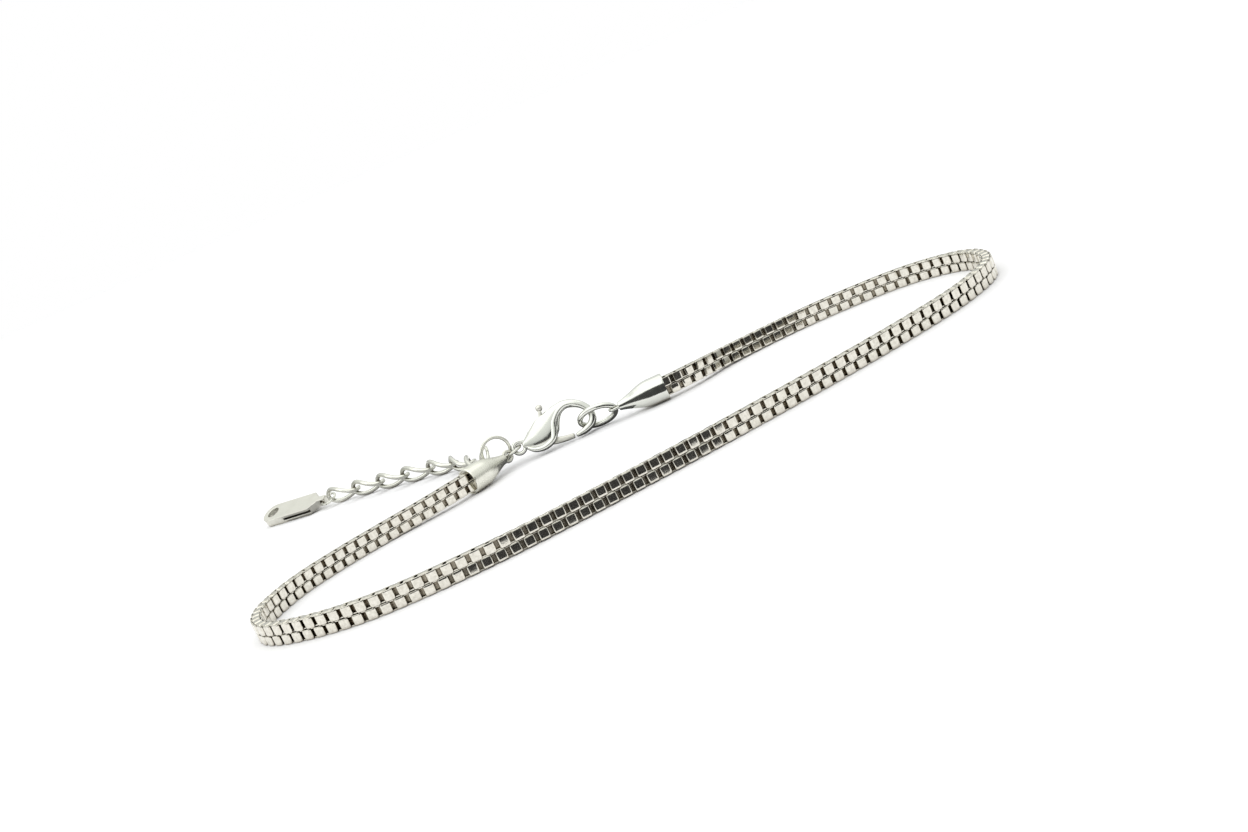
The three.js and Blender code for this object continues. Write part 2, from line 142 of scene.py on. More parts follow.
# Raised rib on the front of the clasp, from the hook's top down the body's right side and round its foot.
# Its ends taper as a sine raised to taper_power does, which stops short of zero by taper, in radians.
CLASP_RIB = [
    (-4.1, 3.36), (-4.7, 3.58), (-5.35, 3.62), (-6.2, 3.22), (-6.9, 2.45), (-7.2, 1.6), (-7.5, 0.98),
    (-8.15, 0.62), (-8.95, 0.5), (-9.75, 0.7), (-10.35, 1.15),
]
RIB = {"half": 0.37, "front": 0.36, "rise": 0.34, "sides": 20, "taper": 0.12, "taper_power": 0.4}

# Plain rings: middle point, radius, wire, heading, lean, and the angle of the ring's cut
RINGS = [
    {"name": "joint_ring", "at": (-12.0, 15.2, 1.56), "radius": 1.0, "wire": 0.28, "heading": 92.7,
     "lean": 79.8, "cut": 110},
    {"name": "tail_ring_1", "at": (-13.54, 15.11, 2.21), "radius": 1.5, "wire": 0.35, "heading": 11,
     "lean": 0.7, "cut": 75},
    {"name": "tail_ring_2", "at": (-15.1, 15.84, 1.61), "radius": 1.5, "wire": 0.35, "heading": 107,
     "lean": 26.3, "cut": 60},
]
RING_CUT = 0.05
LOOP_STEPS = 96
WIRE_SIDES = 20
OVAL_LINK = {"at": (-2.44, 14.62, 1.39), "length": 3.9, "height": 2.3, "wire": 0.6, "sides": 24,
             "heading": -9.4, "lean": 28.5}

# Extension chain, its ring and the folded tag, whose neck is bored for the ring
CURB = {"length": 4.7, "width": 2.2, "wire": 0.5, "pitch": 4.05, "axis_height": 1.17, "twist": 90}
CURB_START = (-15.48, 16.46)
CURB_HEADINGS = [110, 121, 134, 143, 142, 143, 146]
TAG_RING = {"radius": 0.9, "wire": 0.28, "slack": 0.06, "cut": 100}
TAG = {"length": 9.8, "width": 2.9, "thickness": 0.96, "round": 0.09, "end_steps": 20, "heading": 148,
       "roll": 20}
TAG_HOLE = {"radius": 0.76, "inset": 1.45, "edge": 0.001}
TAG_NECK = {"length": 1.0, "width": 0.8, "eye": 0.3, "eye_inset": 0.46, "eye_sides": 32}
TAG_SLOT = {"from": 1.9, "to": 6.2, "height": 0.3}

# Finishes of the steel: the light and dark ends of a cloudy tint, how much of the dark one shows and in how
# fine a grain, the roughness, the strength of the scratches, the colour of the painted shade in the creases,
# and crease, which says how open a spot is where that painted shade is full, and how open where it ends
FINISHES = {
    "chain_steel_mirror": {
        "light": (0.80, 0.775, 0.70), "dark": (0.52, 0.49, 0.42), "roughness": 0.08, "mottled": 0.75,
        "speckle": 3800.0, "crease_shade": (0.16, 0.13, 0.09), "crease": (0.2, 0.7),
    },
    "chain_steel_upright": {
        "light": (0.78, 0.755, 0.68), "dark": (0.46, 0.43, 0.36), "roughness": 0.14, "mottled": 0.9,
        "speckle": 3800.0, "crease_shade": (0.26, 0.22, 0.16), "crease": (0.08, 0.55),
    },
    # The webs: painted shade of the hollows in the links, mottled from near black to paler painted glints
    "chain_web_painted_shade": {
        "light": (0.76, 0.73, 0.66), "dark": (0.05, 0.04, 0.03), "roughness": 0.24, "mottled": 1.0,
        "speckle": 5200.0, "crease_shade": (0.20, 0.17, 0.12), "crease": (0.2, 0.8),
    },
    "polished_steel_soft": {"light": (0.74, 0.75, 0.70), "dark": (0.62, 0.62, 0.57), "roughness": 0.14},
    "polished_steel_worn": {
        "light": (0.78, 0.775, 0.70), "dark": (0.66, 0.65, 0.57), "roughness": 0.27, "scratch": 0.7,
    },
    "wire_steel_satin": {"light": (0.70, 0.70, 0.64), "dark": (0.54, 0.53, 0.47), "roughness": 0.2},
    "steel_satin": {
        "light": (0.72, 0.71, 0.65), "dark": (0.58, 0.57, 0.51), "roughness": 0.34, "scratch": 0.8,
    },
}

# What all finishes share. The values low and high are those of the noise between which it takes effect, and
# smoothest and roughest are shares of a finish's own roughness.
CLOUDS = {"detail": 4.0, "roughness": 0.6, "low": 0.35, "high": 0.75}
# The reach and samples of the occlusion that places the painted shade in the creases
CREASES = {"reach": 0.6 * MM, "samples": 8}
SCRATCHES = {"scale": 1600.0, "detail": 6.0, "roughness": 0.75, "stretch": (1.0, 9.0, 5.0),
             "turn": (0.3, 0.5, 0.9), "low": 0.3, "high": 0.75, "smoothest": 0.7, "roughest": 1.5,
             "depth": 0.004 * MM}
DENTS = {"scale": 420.0, "detail": 2.0, "roughness": 0.5, "strength": 0.5, "depth": 0.02 * MM}

# The sheet that the bracelet lies on: two whites that a faint grain mixes
FLOOR = {"reach": 4000, "roughness": 0.6, "cool": (0.93, 0.935, 0.94), "plain": (0.95, 0.95, 0.95),
         "grain": 900.0, "grain_detail": 3.0}

# Camera: its place in the row frame, its downward tilt and roll, and its focal length in pixels of the
# photograph's width. Its sensor is in millimetres and its clipping in metres.
CAMERA_AT = (2.52, -159.36, 34.54)
CAMERA_DOWN = 12.0
CAMERA_ROLL = -24.29
CAMERA_CLIP = (0.005, 20)
FOCAL_PIXELS = 1603.9
PHOTO_WIDTH = 1248
SENSOR = 36.0

# Lights in the row frame, in metres, and the white room. The steel mirrors the room as darker low down, a
# painted
# reflection that only glossy rays see: its brightness grows from the horizon's to the full one where the view
# rises by slope for each unit of length.
SOFTBOXES = [
    {"name": "top_softbox", "at": (0.05, 0.15, 0.7), "size": (0.9, 0.7), "power": 0.9},
    {"name": "left_softbox", "at": (-0.6, -0.1, 0.35), "size": (0.4, 0.4), "power": 0.5},
]
SOFT_SUN = {"strength": 0.4, "spread": 60, "turn": (25, -15, 0)}
ROOM = {"colour": (1.0, 1.0, 1.0), "mirrored": (0.98, 1.0, 0.97), "horizon": 0.4, "full": 1.0, "slope": 0.5}

# Cards that only show in the steel, as painted dark reflections: opposite corners and how pale each one is.
# The front one, which gives the chain's dark squares, is in the row frame, and the others are in the plan
# frame.
# The flat ones under the clasp, the tail and the tag are painted shadows of the floor, seen only in the
# steel.
FRONT_CARD = {"low": (-140, -260, 0), "high": (230, -160, 62), "grey": 0.028}
CARDS = [
    {"name": "cap_card", "low": (-3.0, 11.2, 0.5), "high": (8.2, 11.2, 3.4), "grey": 0.07},
    {"name": "clasp_shadow_card", "low": (-16.5, 13.0, 0.06), "high": (1.0, 17.4, 0.06), "grey": 0.1},
    {"name": "tag_shadow_card", "low": (-52.0, 28.0, 0.06), "high": (-37.0, 39.0, 0.06), "grey": 0.42},
    {"name": "tail_shadow_card", "low": (-34.0, 13.0, 0.06), "high": (-16.6, 36.0, 0.06), "grey": 0.5},
]
CARD_ROUGHNESS = 0.9

rng = np.random.default_rng(7)


def shifted(x, y, z=0.0):
    """A place in the plan frame, brought into the row frame."""
    return Vector((x + PLAN_SHIFT[0], y + PLAN_SHIFT[1], z))


def rotation(degrees, axis):
    return Matrix.Rotation(math.radians(degrees), 4, axis)


def heading_vector(degrees):
    return Vector((math.cos(math.radians(degrees)), math.sin(math.radians(degrees)), 0))


# Curves and surfaces, as points and faces in millimetres


def angles(count):
    """Equal steps once round, in radians."""
    return np.linspace(0, FULL_TURN, count, endpoint=False)


def round_about(angle):
    """Unit vectors at these angles in the XY plane."""
    return np.stack([np.cos(angle), np.sin(angle), np.zeros(len(angle))], 1)


def curve_through(rows, steps):
    """Smooth rows through the given ones, in equal steps from one to the next. The first and the last of
    them only steer the curve's ends."""
    t = np.linspace(0, 1, steps, endpoint=False)[:, None]
    stretches = []
    for before, start, end, after in zip(rows, rows[1:], rows[2:], rows[3:]):
        leave, arrive = (end - before) / 2, (after - start) / 2
        stretches.append(start + t * leave + t * t * (3 * (end - start) - 2 * leave - arrive)
                         + t**3 * (2 * (start - end) + leave + arrive))
    return np.vstack([*stretches, rows[-2:-1]])


def smooth_rows(table, steps):
    """A curve through all rows of a table, which runs on straight at its ends."""
    rows = np.array(table, float)
    return curve_through(np.vstack([2 * rows[0] - rows[1], rows, 2 * rows[-1] - rows[-2]]), steps)


def grid_faces(rings, count, closed=False):
    """Quads over rings of points that all have the same count."""
    faces = []
    for i in range(rings if closed else rings - 1):
        here, after = i * count, ((i + 1) % rings) * count
        for j in range(count):
            k = (j + 1) % count
            faces.append((here + j, here + k, after + k, after + j))
    return faces


def end_faces(rings, count):
    """The two faces that close the ends of a row of rings."""
    return [tuple(reversed(range(count))), tuple(range((rings - 1) * count, rings * count))]


def sweep(path, outward, half_out, half_side, sides, closed):
    """A round bar swept along a path. Its two half widths are numbers, or lists with one for each point."""
    count = len(path)
    if closed:
        along = np.roll(path, -1, 0) - np.roll(path, 1, 0)
    else:
        along = np.gradient(path, axis=0)
    along /= np.linalg.norm(along, axis=1)[:, None]
    side = np.cross(along, outward)
    side /= np.linalg.norm(side, axis=1)[:, None]
    out = np.cross(side, along)
    angle = angles(sides)
    half_out = np.broadcast_to(half_out, count)[:, None, None]
    half_side = np.broadcast_to(half_side, count)[:, None, None]
    rings = path[:, None, :] + half_out * np.cos(angle)[None, :, None] * out[:, None, :]
    rings = rings + half_side * np.sin(angle)[None, :, None] * side[:, None, :]
    faces = grid_faces(count, sides, closed)
    if not closed:
        faces += end_faces(count, sides)
    return rings.reshape(-1, 3), faces


def wire_along(path, outward, wire, sides, closed=True):
    """A round wire of this thickness along a path."""
    return sweep(path, outward, wire / 2, wire / 2, sides, closed)


def lathed(profile, sides):
    """A form turned round Z, from rows of (radius, height)."""
    points = [(r * math.cos(a), r * math.sin(a), height) for r, height in profile for a in angles(sides)]
    return np.array(points), grid_faces(len(profile), sides)


def prism(outline, half):
    """An outline in XY, as thick as half on either side."""
    points = [(x, y, z) for z in (-half, half) for x, y in outline]
    count = len(outline)
    return np.array(points), grid_faces(2, count) + end_faces(2, count)


def box(low, high):
    points = [(x, y, z) for x in (low[0], high[0]) for y in (low[1], high[1]) for z in (low[2], high[2])]
    faces = [(0, 1, 3, 2), (4, 6, 7, 5), (0, 4, 5, 1), (2, 3, 7, 6), (0, 2, 6, 4), (1, 5, 7, 3)]
    return points, faces


def joined(parts):
    """Several (points, faces) as one."""
    points, faces, start = [], [], 0
    for part_points, part_faces in parts:
        points.append(part_points)
        faces.extend(tuple(i + start for i in face) for face in part_faces)
        start += len(part_points)
    return np.vstack(points), faces


# Pieces


def mesh_piece(name, points, faces, normals=None):
    """A smooth-shaded piece from points in millimetres."""
    mesh = bpy.data.meshes.new(name)
    mesh.from_pydata([tuple(p) for p in np.asarray(points, float) * MM], [], [tuple(f) for f in faces])
    mesh.polygons.foreach_set("use_smooth", [True] * len(mesh.polygons))
    if normals is not None:
        mesh.normals_split_custom_set_from_vertices([tuple(n) for n in normals])
    piece = bpy.data.objects.new(name, mesh)
    bpy.context.scene.collection.objects.link(piece)
    return piece


def facing_out(piece):
    """Turns every face of a piece outwards."""
    bm = bmesh.new()
    bm.from_mesh(piece.data)
    bmesh.ops.recalc_face_normals(bm, faces=bm.faces)
    bm.to_mesh(piece.data)
    bm.free()
    return piece


def apply_modifiers(piece):
    depsgraph = bpy.context.evaluated_depsgraph_get()
    mesh = bpy.data.meshes.new_from_object(piece.evaluated_get(depsgraph))
    piece.modifiers.clear()
    piece.data = mesh


def cut(piece, *cutters):
    """Takes the cutters' volume out of a piece, and removes them."""
    for cutter in cutters:
        boolean = piece.modifiers.new("cut", "BOOLEAN")
        boolean.object = facing_out(cutter)
        boolean.operation = "DIFFERENCE"
        boolean.solver = "EXACT"
        cutter.hide_render = True
    bpy.context.view_layer.update()
    apply_modifiers(piece)
    for cutter in cutters:
        bpy.data.objects.remove(cutter)


def crisp(piece, width, segments):
    """A small round on the sharp edges, and smooth shading elsewhere."""
    bevel = piece.modifiers.new("round", "BEVEL")
    bevel.width = width * MM
    bevel.segments = segments
    bevel.limit_method = "ANGLE"
    bevel.angle_limit = math.radians(SHARP_ANGLE)
    bevel.harden_normals = True
    apply_modifiers(piece)


def smooth_by_angle(piece, angle=SHARP_ANGLE):
    piece.data.set_sharp_from_angle(angle=math.radians(angle))


def place(piece, matrix):
    """Moves the mesh itself, by a matrix whose translation is in millimetres."""
    scaled = matrix.copy()
    scaled.translation = matrix.translation * MM
    piece.data.transform(scaled)


def finish_piece(piece, material, replaces=None, body="bracelet"):
    """Gives a piece its material, sets it on the body that it rides on, and hides the nodes that it stands
    for.
    """
    piece.data.materials.clear()
    piece.data.materials.append(material)
    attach(piece, body)
    if replaces:
        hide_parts(*replaces)


# Materials


def new_material(name):
    """A material, its node tree and its main shader."""
    material = bpy.data.materials.new(name)
    material.use_nodes = True
    return material, material.node_tree, material.node_tree.nodes["Principled BSDF"]


def node(tree, kind, **sockets):
    made = tree.nodes.new(kind)
    for name, value in sockets.items():
        made.inputs[name].default_value = value
    return made


def noise(tree, vector, scale, detail, roughness):
    made = node(tree, "ShaderNodeTexNoise", Scale=scale, Detail=detail, Roughness=roughness)
    tree.links.new(vector, made.inputs["Vector"])
    return made.outputs["Fac"]


def ranged(tree, value, low, high, at_low, at_high):
    """A value mapped from one range to another and held at its ends."""
    made = tree.nodes.new("ShaderNodeMapRange")
    for socket, number in (("From Min", low), ("From Max", high), ("To Min", at_low), ("To Max", at_high)):
        made.inputs[socket].default_value = number
    tree.links.new(value, made.inputs["Value"])
    return made.outputs["Result"]


def mixed(tree, factor, first, second):
    """Two colours mixed by a factor. The first one may be another node's output."""
    made = tree.nodes.new("ShaderNodeMix")
    made.data_type = "RGBA"
    tree.links.new(factor, made.inputs["Factor"])
    if isinstance(first, tuple):
        made.inputs["A"].default_value = (*first, 1)
    else:
        tree.links.new(first, made.inputs["A"])
    made.inputs["B"].default_value = (*second, 1)
    return made.outputs["Result"]


def bumped(tree, height, strength, distance):
    made = node(tree, "ShaderNodeBump", Strength=strength, Distance=distance)
    tree.links.new(height, made.inputs["Height"])
    return made


def steel(name, light, dark, roughness, scratch=0.5, mottled=0.35, speckle=900.0,
          crease_shade=(0.30, 0.27, 0.21), crease=(0.15, 0.6)):
    """Steel with a cloudy tint, painted shade in the creases, soft dents, and fine scratches that change its
    roughness too."""
    material, tree, shader = new_material(name)
    links = tree.links
    shader.inputs["Metallic"].default_value = 1.0
    coordinates = tree.nodes.new("ShaderNodeTexCoord").outputs["Object"]

    cloud = noise(tree, coordinates, speckle, CLOUDS["detail"], CLOUDS["roughness"])
    cloudy = ranged(tree, cloud, CLOUDS["low"], CLOUDS["high"], 0.0, mottled)
    # Painted shade: where the occlusion finds a crease, the base colour darkens towards the crease colour
    hollow = node(tree, "ShaderNodeAmbientOcclusion", Distance=CREASES["reach"])
    hollow.samples = CREASES["samples"]
    deep = ranged(tree, hollow.outputs["AO"], *crease, 1.0, 0.0)
    tint = mixed(tree, cloudy, light, dark)
    links.new(mixed(tree, deep, tint, crease_shade), shader.inputs["Base Color"])

    stretch = tree.nodes.new("ShaderNodeMapping")
    stretch.inputs["Scale"].default_value = SCRATCHES["stretch"]
    stretch.inputs["Rotation"].default_value = SCRATCHES["turn"]
    links.new(coordinates, stretch.inputs["Vector"])
    scratches = noise(tree, stretch.outputs["Vector"], SCRATCHES["scale"], SCRATCHES["detail"],
                      SCRATCHES["roughness"])
    rough = ranged(tree, scratches, SCRATCHES["low"], SCRATCHES["high"], roughness * SCRATCHES["smoothest"],
                   roughness * SCRATCHES["roughest"])
    links.new(rough, shader.inputs["Roughness"])

    dents = noise(tree, coordinates, DENTS["scale"], DENTS["detail"], DENTS["roughness"])
    swell = bumped(tree, dents, DENTS["strength"], DENTS["depth"])
    bump = bumped(tree, scratches, scratch, SCRATCHES["depth"])
    links.new(swell.outputs["Normal"], bump.inputs["Normal"])
    links.new(bump.outputs["Normal"], shader.inputs["Normal"])
    return material


def floor_material():
    material, tree, shader = new_material("floor_paper")
    shader.inputs["Roughness"].default_value = FLOOR["roughness"]
    grain = node(tree, "ShaderNodeTexNoise", Scale=FLOOR["grain"], Detail=FLOOR["grain_detail"])
    pale = mixed(tree, grain.outputs["Fac"], FLOOR["cool"], FLOOR["plain"])
    tree.links.new(pale, shader.inputs["Base Color"])
    return material


# Chain


def strip_section(half_width):
    """The section of a link's strip: rows of (out, across, normal out, normal across), first its four rounded
    edges and then the rims of its crown. The normals of the two outer edges lean as the crown's sides do."""
    edge, rise = STRIP_EDGE, STRIP_CROWN["rise"]
    across = half_width - edge
    flat = STRIP_CROWN["flat"] * half_width
    slope = math.sin(math.atan2(rise, across - flat))
    quarter = [(math.cos(a), math.sin(a)) for a in (0, math.pi / 4, math.pi / 2)]
    rows = [(-edge + edge * c, across + edge * s, c, s) for c, s in quarter]
    rows += [(-LINK_WALL + edge - edge * c, across + edge * s, -c, s) for c, s in reversed(quarter)]
    rows += [(-LINK_WALL + edge - edge * c, -across - edge * s, -c, -s) for c, s in quarter]
    rows += [(-edge + edge * c, -across - edge * s, c, -s) for c, s in reversed(quarter)]
    rows[0] = (*rows[0][:3], slope)
    rows[-1] = (*rows[-1][:3], -slope)
    return rows + [(rise, side * flat, 1.0, side * STRIP_CROWN["lean"]) for side in (-1, 1)]


def strip_ring(link):
    """A square ring of flat strip: its plane is XY, its strip's width is along Z, and its two long faces,
    towards plus and minus Y, are wider than its ends. Points, normals and faces."""
    corner = link["corner"]
    half_x, half_y = link["length"] / 2 - corner, link["depth"] / 2 - corner
    points, normals = [], []
    for quarter, (x_side, y_side) in enumerate([(1, 1), (-1, 1), (-1, -1), (1, -1)]):
        for step in range(LINK_CORNER_STEPS + 1):
            angle = math.radians(90 * quarter + 90 * step / LINK_CORNER_STEPS)
            nx, ny = math.cos(angle), math.sin(angle)
            widened = (link["face_strip"] - link["end_strip"]) * min(1.0, STRIP_WIDENING * abs(ny))
            for out, across, normal_out, normal_across in strip_section((link["end_strip"] + widened) / 2):
                reach = corner + out
                points.append((x_side * half_x + nx * reach, y_side * half_y + ny * reach, across))
                normal = Vector((nx * normal_out, ny * normal_out, normal_across))
                normals.append(tuple(normal.normalized()))
    rings = 4 * (LINK_CORNER_STEPS + 1)
    faces = [tuple(reversed(face)) for face in grid_faces(rings, len(points) // rings, closed=True)]
    return np.array(points), np.array(normals), faces


def with_shade_web(link, points, normals, faces):
    """A link with a thin web across its opening, a dark sheet of painted shade. The web's two faces come
    last.
    """
    x, y = link["length"] / 2 - LINK_WALL / 2, link["depth"] / 2 - LINK_WALL / 2
    corners = [(-x, -y), (x, -y), (x, y), (-x, y)]
    web_points = [(*corner, side * SHADE_WEB / 2) for side in (-1, 1) for corner in corners]
    web_normals = [(0, 0, side) for side in (-1, 1) for corner in corners]
    start = len(points)
    web_faces = [tuple(start + k for k in face) for face in ((3, 2, 1, 0), (4, 5, 6, 7))]
    return np.vstack([points, web_points]), np.vstack([normals, web_normals]), faces + web_faces


def lean_back(row, travelled):
    """The roll, in radians, that leans back a row's link this far along the route."""
    lean = 0.0
    for stretch in LEANT_BACK:
        if row in stretch["rows"]:
            away = abs(travelled - stretch["middle"]) / stretch["half"]
            lean += math.radians(stretch["degrees"]) / (1 + away**LEAN_FADE)
    return lean


def link_places(row):
    """The middle and the turn of each link of a row, from the left cap round to the right one."""
    route = smooth_rows(CHAIN_ROUTE, ROUTE_STEPS)
    travelled = np.concatenate([[0], np.cumsum(np.linalg.norm(np.diff(route, axis=0), axis=1))])
    step = travelled[-1] / LINK_COUNT
    for i in range(LINK_COUNT):
        lengths = (i + 0.5 + np.array([0, -LOOK_ALONG, LOOK_ALONG])) * step
        foot, before, after = np.stack([np.interp(lengths, travelled, route[:, k]) for k in range(3)], 1)
        along = after - before
        heading = math.atan2(along[1], along[0])
        slope = math.atan2(along[2], math.hypot(along[0], along[1]))
        draws = rng.normal(0, WOBBLE_SPREAD, 3)
        roll, pitch, yaw = [math.radians(most * draw) for most, draw in zip(LINK_WOBBLE.values(), draws)]
        turn = Euler((roll + lean_back(row, lengths[0]), pitch - slope, yaw + heading)).to_matrix()
        middle = shifted(foot[0], foot[1], max(foot[2], 0) + ROW_HEIGHT * (row + 0.5))
        yield np.array(middle), np.array(turn)


def chain_row(name, row, finishes):
    """One row of the band: flat links, whose mirror faces show, alternate with upright ones through them."""
    flat = strip_ring(FLAT_LINK)
    points, normals, faces = with_shade_web(UPRIGHT_LINK, *strip_ring(UPRIGHT_LINK))
    stood_up = np.array([[1, 0, 0], [0, 0, -1], [0, 1, 0]], float).T
    upright = (points @ stood_up, normals @ stood_up, faces)
    materials = [finishes[finish] for finish in CHAIN_FINISHES]
    flat_slots = [0] * len(flat[2])
    # The web's two faces take the painted shade finish
    upright_slots = [1] * (len(faces) - 2) + [2, 2]

    row_points, row_normals, row_faces, row_slots = [], [], [], []
    start = 0
    for i, (middle, turn) in enumerate(link_places(row)):
        is_flat = i % 2 == row
        link_points, link_normals, link_faces = flat if is_flat else upright
        row_points.append(link_points @ turn.T + middle)
        row_normals.append(link_normals @ turn.T)
        row_faces.extend(tuple(start + k for k in face) for face in link_faces)
        row_slots.extend(flat_slots if is_flat else upright_slots)
        start += len(link_points)
    piece = mesh_piece(name, np.vstack(row_points), row_faces, np.vstack(row_normals))
    finish_piece(piece, materials[0], replaces=["chain_band"])
    for material in materials[1:]:
        piece.data.materials.append(material)
    piece.data.polygons.foreach_set("material_index", row_slots)


# Caps


def bell():
    """A cap's bell along X: the socket from its solder to the lip, then the outside from there to the tip."""
    socket, solder = CAP_SOCKET["radius"], CAP_SOCKET["solder_depth"]
    rim, bend = np.array(CAP_PROFILE[:1]), np.array(CAP_PROFILE[1:])
    outside = np.vstack([rim, curve_through(np.vstack([bend[:1], bend, bend[-1:]]), CAP_STEPS)])
    length, tip = CAP_PROFILE[-1]
    profile = [(NEAR_AXIS, solder), (socket - CAP_LIP, solder), (socket, solder - CAP_LIP), (socket, CAP_LIP),
               (socket + CAP_LIP, 0)]
    profile += [(radius, along) for along, radius in outside]
    profile += [(tip - CAP_TIP["inward"], length + CAP_TIP["along"]), (NEAR_AXIS, length + CAP_TIP["end"])]
    points, faces = lathed(profile, CAP_SIDES)
    return np.roll(points, 1, axis=1), faces


def cap_eye(turn):
    """The eye soldered to a cap's tip, in a plane through X that is turned from XY."""
    angle = angles(CAP_EYE["steps"])[:, None]
    across = np.array([0, math.cos(turn), math.sin(turn)])
    outward = np.cos(angle) * np.array([1, 0, 0]) + np.sin(angle) * across
    path = outward * CAP_EYE["radius"] + np.array([CAP_PROFILE[-1][0] + CAP_EYE["stand"], 0, 0])
    return wire_along(path, outward, CAP_EYE["wire"], CAP_EYE["sides"])


def bell_cap(cap, material):
    parts = joined([bell(), cap_eye(math.radians(cap["eye_turn"]))])
    piece = facing_out(mesh_piece(cap["name"] + "_bell", *parts))
    smooth_by_angle(piece, CAP_SHARP_ANGLE)
    tip = shifted(*cap["tip"], CAP_AXIS_HEIGHT)
    mouth = tip - heading_vector(cap["heading"]) * CAP_PROFILE[-1][0]
    place(piece, Matrix.Translation(mouth) @ rotation(cap["heading"], "Z"))
    finish_piece(piece, material, replaces=[cap["name"]])


# Clasp, in a plane of its own: U along it, V up it, and its depth along W


def clasp_place():
    """The matrix that stands the clasp's plane up and leans it back."""
    return Matrix.Translation(shifted(0, CLASP_FOOT["y"], CLASP_FOOT["z"])) @ rotation(90 - CLASP_LEAN, "X")


def rounded_end(row, way):
    """Shrinking sections that round an end of a loft, from the row outwards."""
    u, v, turn, half, depth = row
    heading = math.radians(turn)
    sections = []
    for lift, size in DOME:
        reach = way * lift * DOME_REACH * min(half, depth)
        sections.append((u + reach * math.cos(heading), v + reach * math.sin(heading), turn,
                         half * size, depth * size))
    return sections


def flat_loft(rows, sides, power):
    """A loft in the clasp's plane through rows of (u, v, turn, half, depth), with rounded ends. Its section
    is round at power 2 and squarer above it."""
    rows = smooth_rows(rows, LOFT_STEPS)
    rows = np.vstack([rounded_end(rows[0], -1)[::-1], rows, rounded_end(rows[-1], 1)])
    count = len(rows)
    turn = np.radians(rows[:, 2])
    across = np.stack([-np.sin(turn), np.cos(turn), np.zeros(count)], 1)
    c, s = np.cos(angles(sides)), np.sin(angles(sides))
    c, s = np.sign(c) * abs(c) ** (2 / power), np.sign(s) * abs(s) ** (2 / power)
    middle = np.stack([rows[:, 0], rows[:, 1], np.zeros(count)], 1)
    half, depth = rows[:, 3][:, None, None], rows[:, 4][:, None, None]
    rings = middle[:, None, :] + half * c[None, :, None] * across[:, None, :]
    rings = rings + depth * s[None, :, None] * np.array([0, 0, 1.0])
    return rings.reshape(-1, 3), grid_faces(count, sides) + end_faces(count, sides)


def disc(u, v, radius, half, edge=DISC_EDGE):
    """A round disc or pin across the UV plane, with bevelled rims."""
    profile = [(NEAR_AXIS, -half), (radius - edge, -half), (radius, -half + edge), (radius, half - edge),
               (radius - edge, half), (NEAR_AXIS, half)]
    points, faces = lathed(profile, DISC_SIDES)
    return points + np.array([u, v, 0]), faces


def ball(u, v, radius, sides):
    steps = np.linspace(NEAR_AXIS, math.pi - NEAR_AXIS, sides // 2)
    points, faces = lathed([(radius * math.sin(t), radius * math.cos(t)) for t in steps], sides)
    return points + np.array([u, v, 0]), faces


def clasp_shell(material):
    """The clasp's body and hook, slotted for the lever."""
    piece = facing_out(mesh_piece("clasp_shell", *flat_loft(CLASP_BODY, **BODY_SECTION)))
    slot = mesh_piece("slot_cut", *box(
        (CLASP_SLOT["left"], CLASP_SLOT["low"], -CLASP_SLOT["width"] / 2),
        (CLASP_SLOT["right"], CLASP_SLOT["high"], CLASP_SLOT["width"] / 2)))
    cut(piece, slot)
    crisp(piece, CLASP_SLOT["round"], segments=2)
    place(piece, clasp_place())
    finish_piece(piece, material, replaces=["clasp_body"])


def clasp_fittings(material):
    """The clasp's eye, the lever's pin and the raised rib."""
    outward = round_about(angles(CLASP_EYE["steps"]))
    path = outward * CLASP_EYE["radius"] + np.array([CLASP_EYE["u"], CLASP_EYE["v"], 0])
    eye = wire_along(path, outward, CLASP_EYE["wire"], CLASP_EYE["sides"])
    pin = disc(PIVOT["u"], PIVOT["v"], PIVOT["pin"], CLASP_SLOT["width"] / 2 + PIVOT["proud"])
    line = smooth_rows([(u, v, RIB["front"]) for u, v in CLASP_RIB], LOFT_STEPS)
    taper = np.sin(np.linspace(RIB["taper"], math.pi - RIB["taper"], len(line))) ** RIB["taper_power"]
    frontward = np.broadcast_to([0.0, 0.0, 1.0], line.shape)
    rib = sweep(line, frontward, RIB["rise"] * taper, RIB["half"] * taper, RIB["sides"], closed=False)
    piece = facing_out(mesh_piece("clasp_eye", *joined([eye, pin, rib])))
    smooth_by_angle(piece)
    place(piece, clasp_place())
    finish_piece(piece, material)


def clasp_lever(material):
    """The gate, the thumb tab with its knob, and the hub that turns on the pin."""
    arms = []
    for table in (GATE_ARM, TAB_ARM):
        arms.append(flat_loft([(*row, LEVER_HALF_DEPTH) for row in table], **ARM_SECTION))
    hub = disc(PIVOT["u"], PIVOT["v"], LEVER_HUB, LEVER_HALF_DEPTH)
    piece = facing_out(mesh_piece("clasp_gate_and_tab", *joined([*arms, hub, ball(**TAB_KNOB)])))
    smooth_by_angle(piece)
    place(piece, clasp_place())
    finish_piece(piece, material, replaces=["clasp_lever"], body="clasp_lever")


# Rings and links


def leaning(at, heading, lean):
    """The matrix that stands a flat ring up at a place, turns it to its heading and leans it."""
    return Matrix.Translation(shifted(*at)) @ rotation(heading, "Z") @ rotation(90 + lean, "X")


def cut_ring(name, ring, matrix, material, node_name):
    """A round wire ring with the fine cut of a jump ring."""
    gap = RING_CUT / ring["radius"] / 2
    start = math.radians(ring["cut"])
    outward = round_about(np.linspace(start + gap, start + FULL_TURN - gap, LOOP_STEPS + 1))
    wire = wire_along(outward * ring["radius"], outward, ring["wire"], WIRE_SIDES, closed=False)
    piece = facing_out(mesh_piece(name, *wire))
    smooth_by_angle(piece)
    place(piece, matrix)
    finish_piece(piece, material, replaces=[node_name])


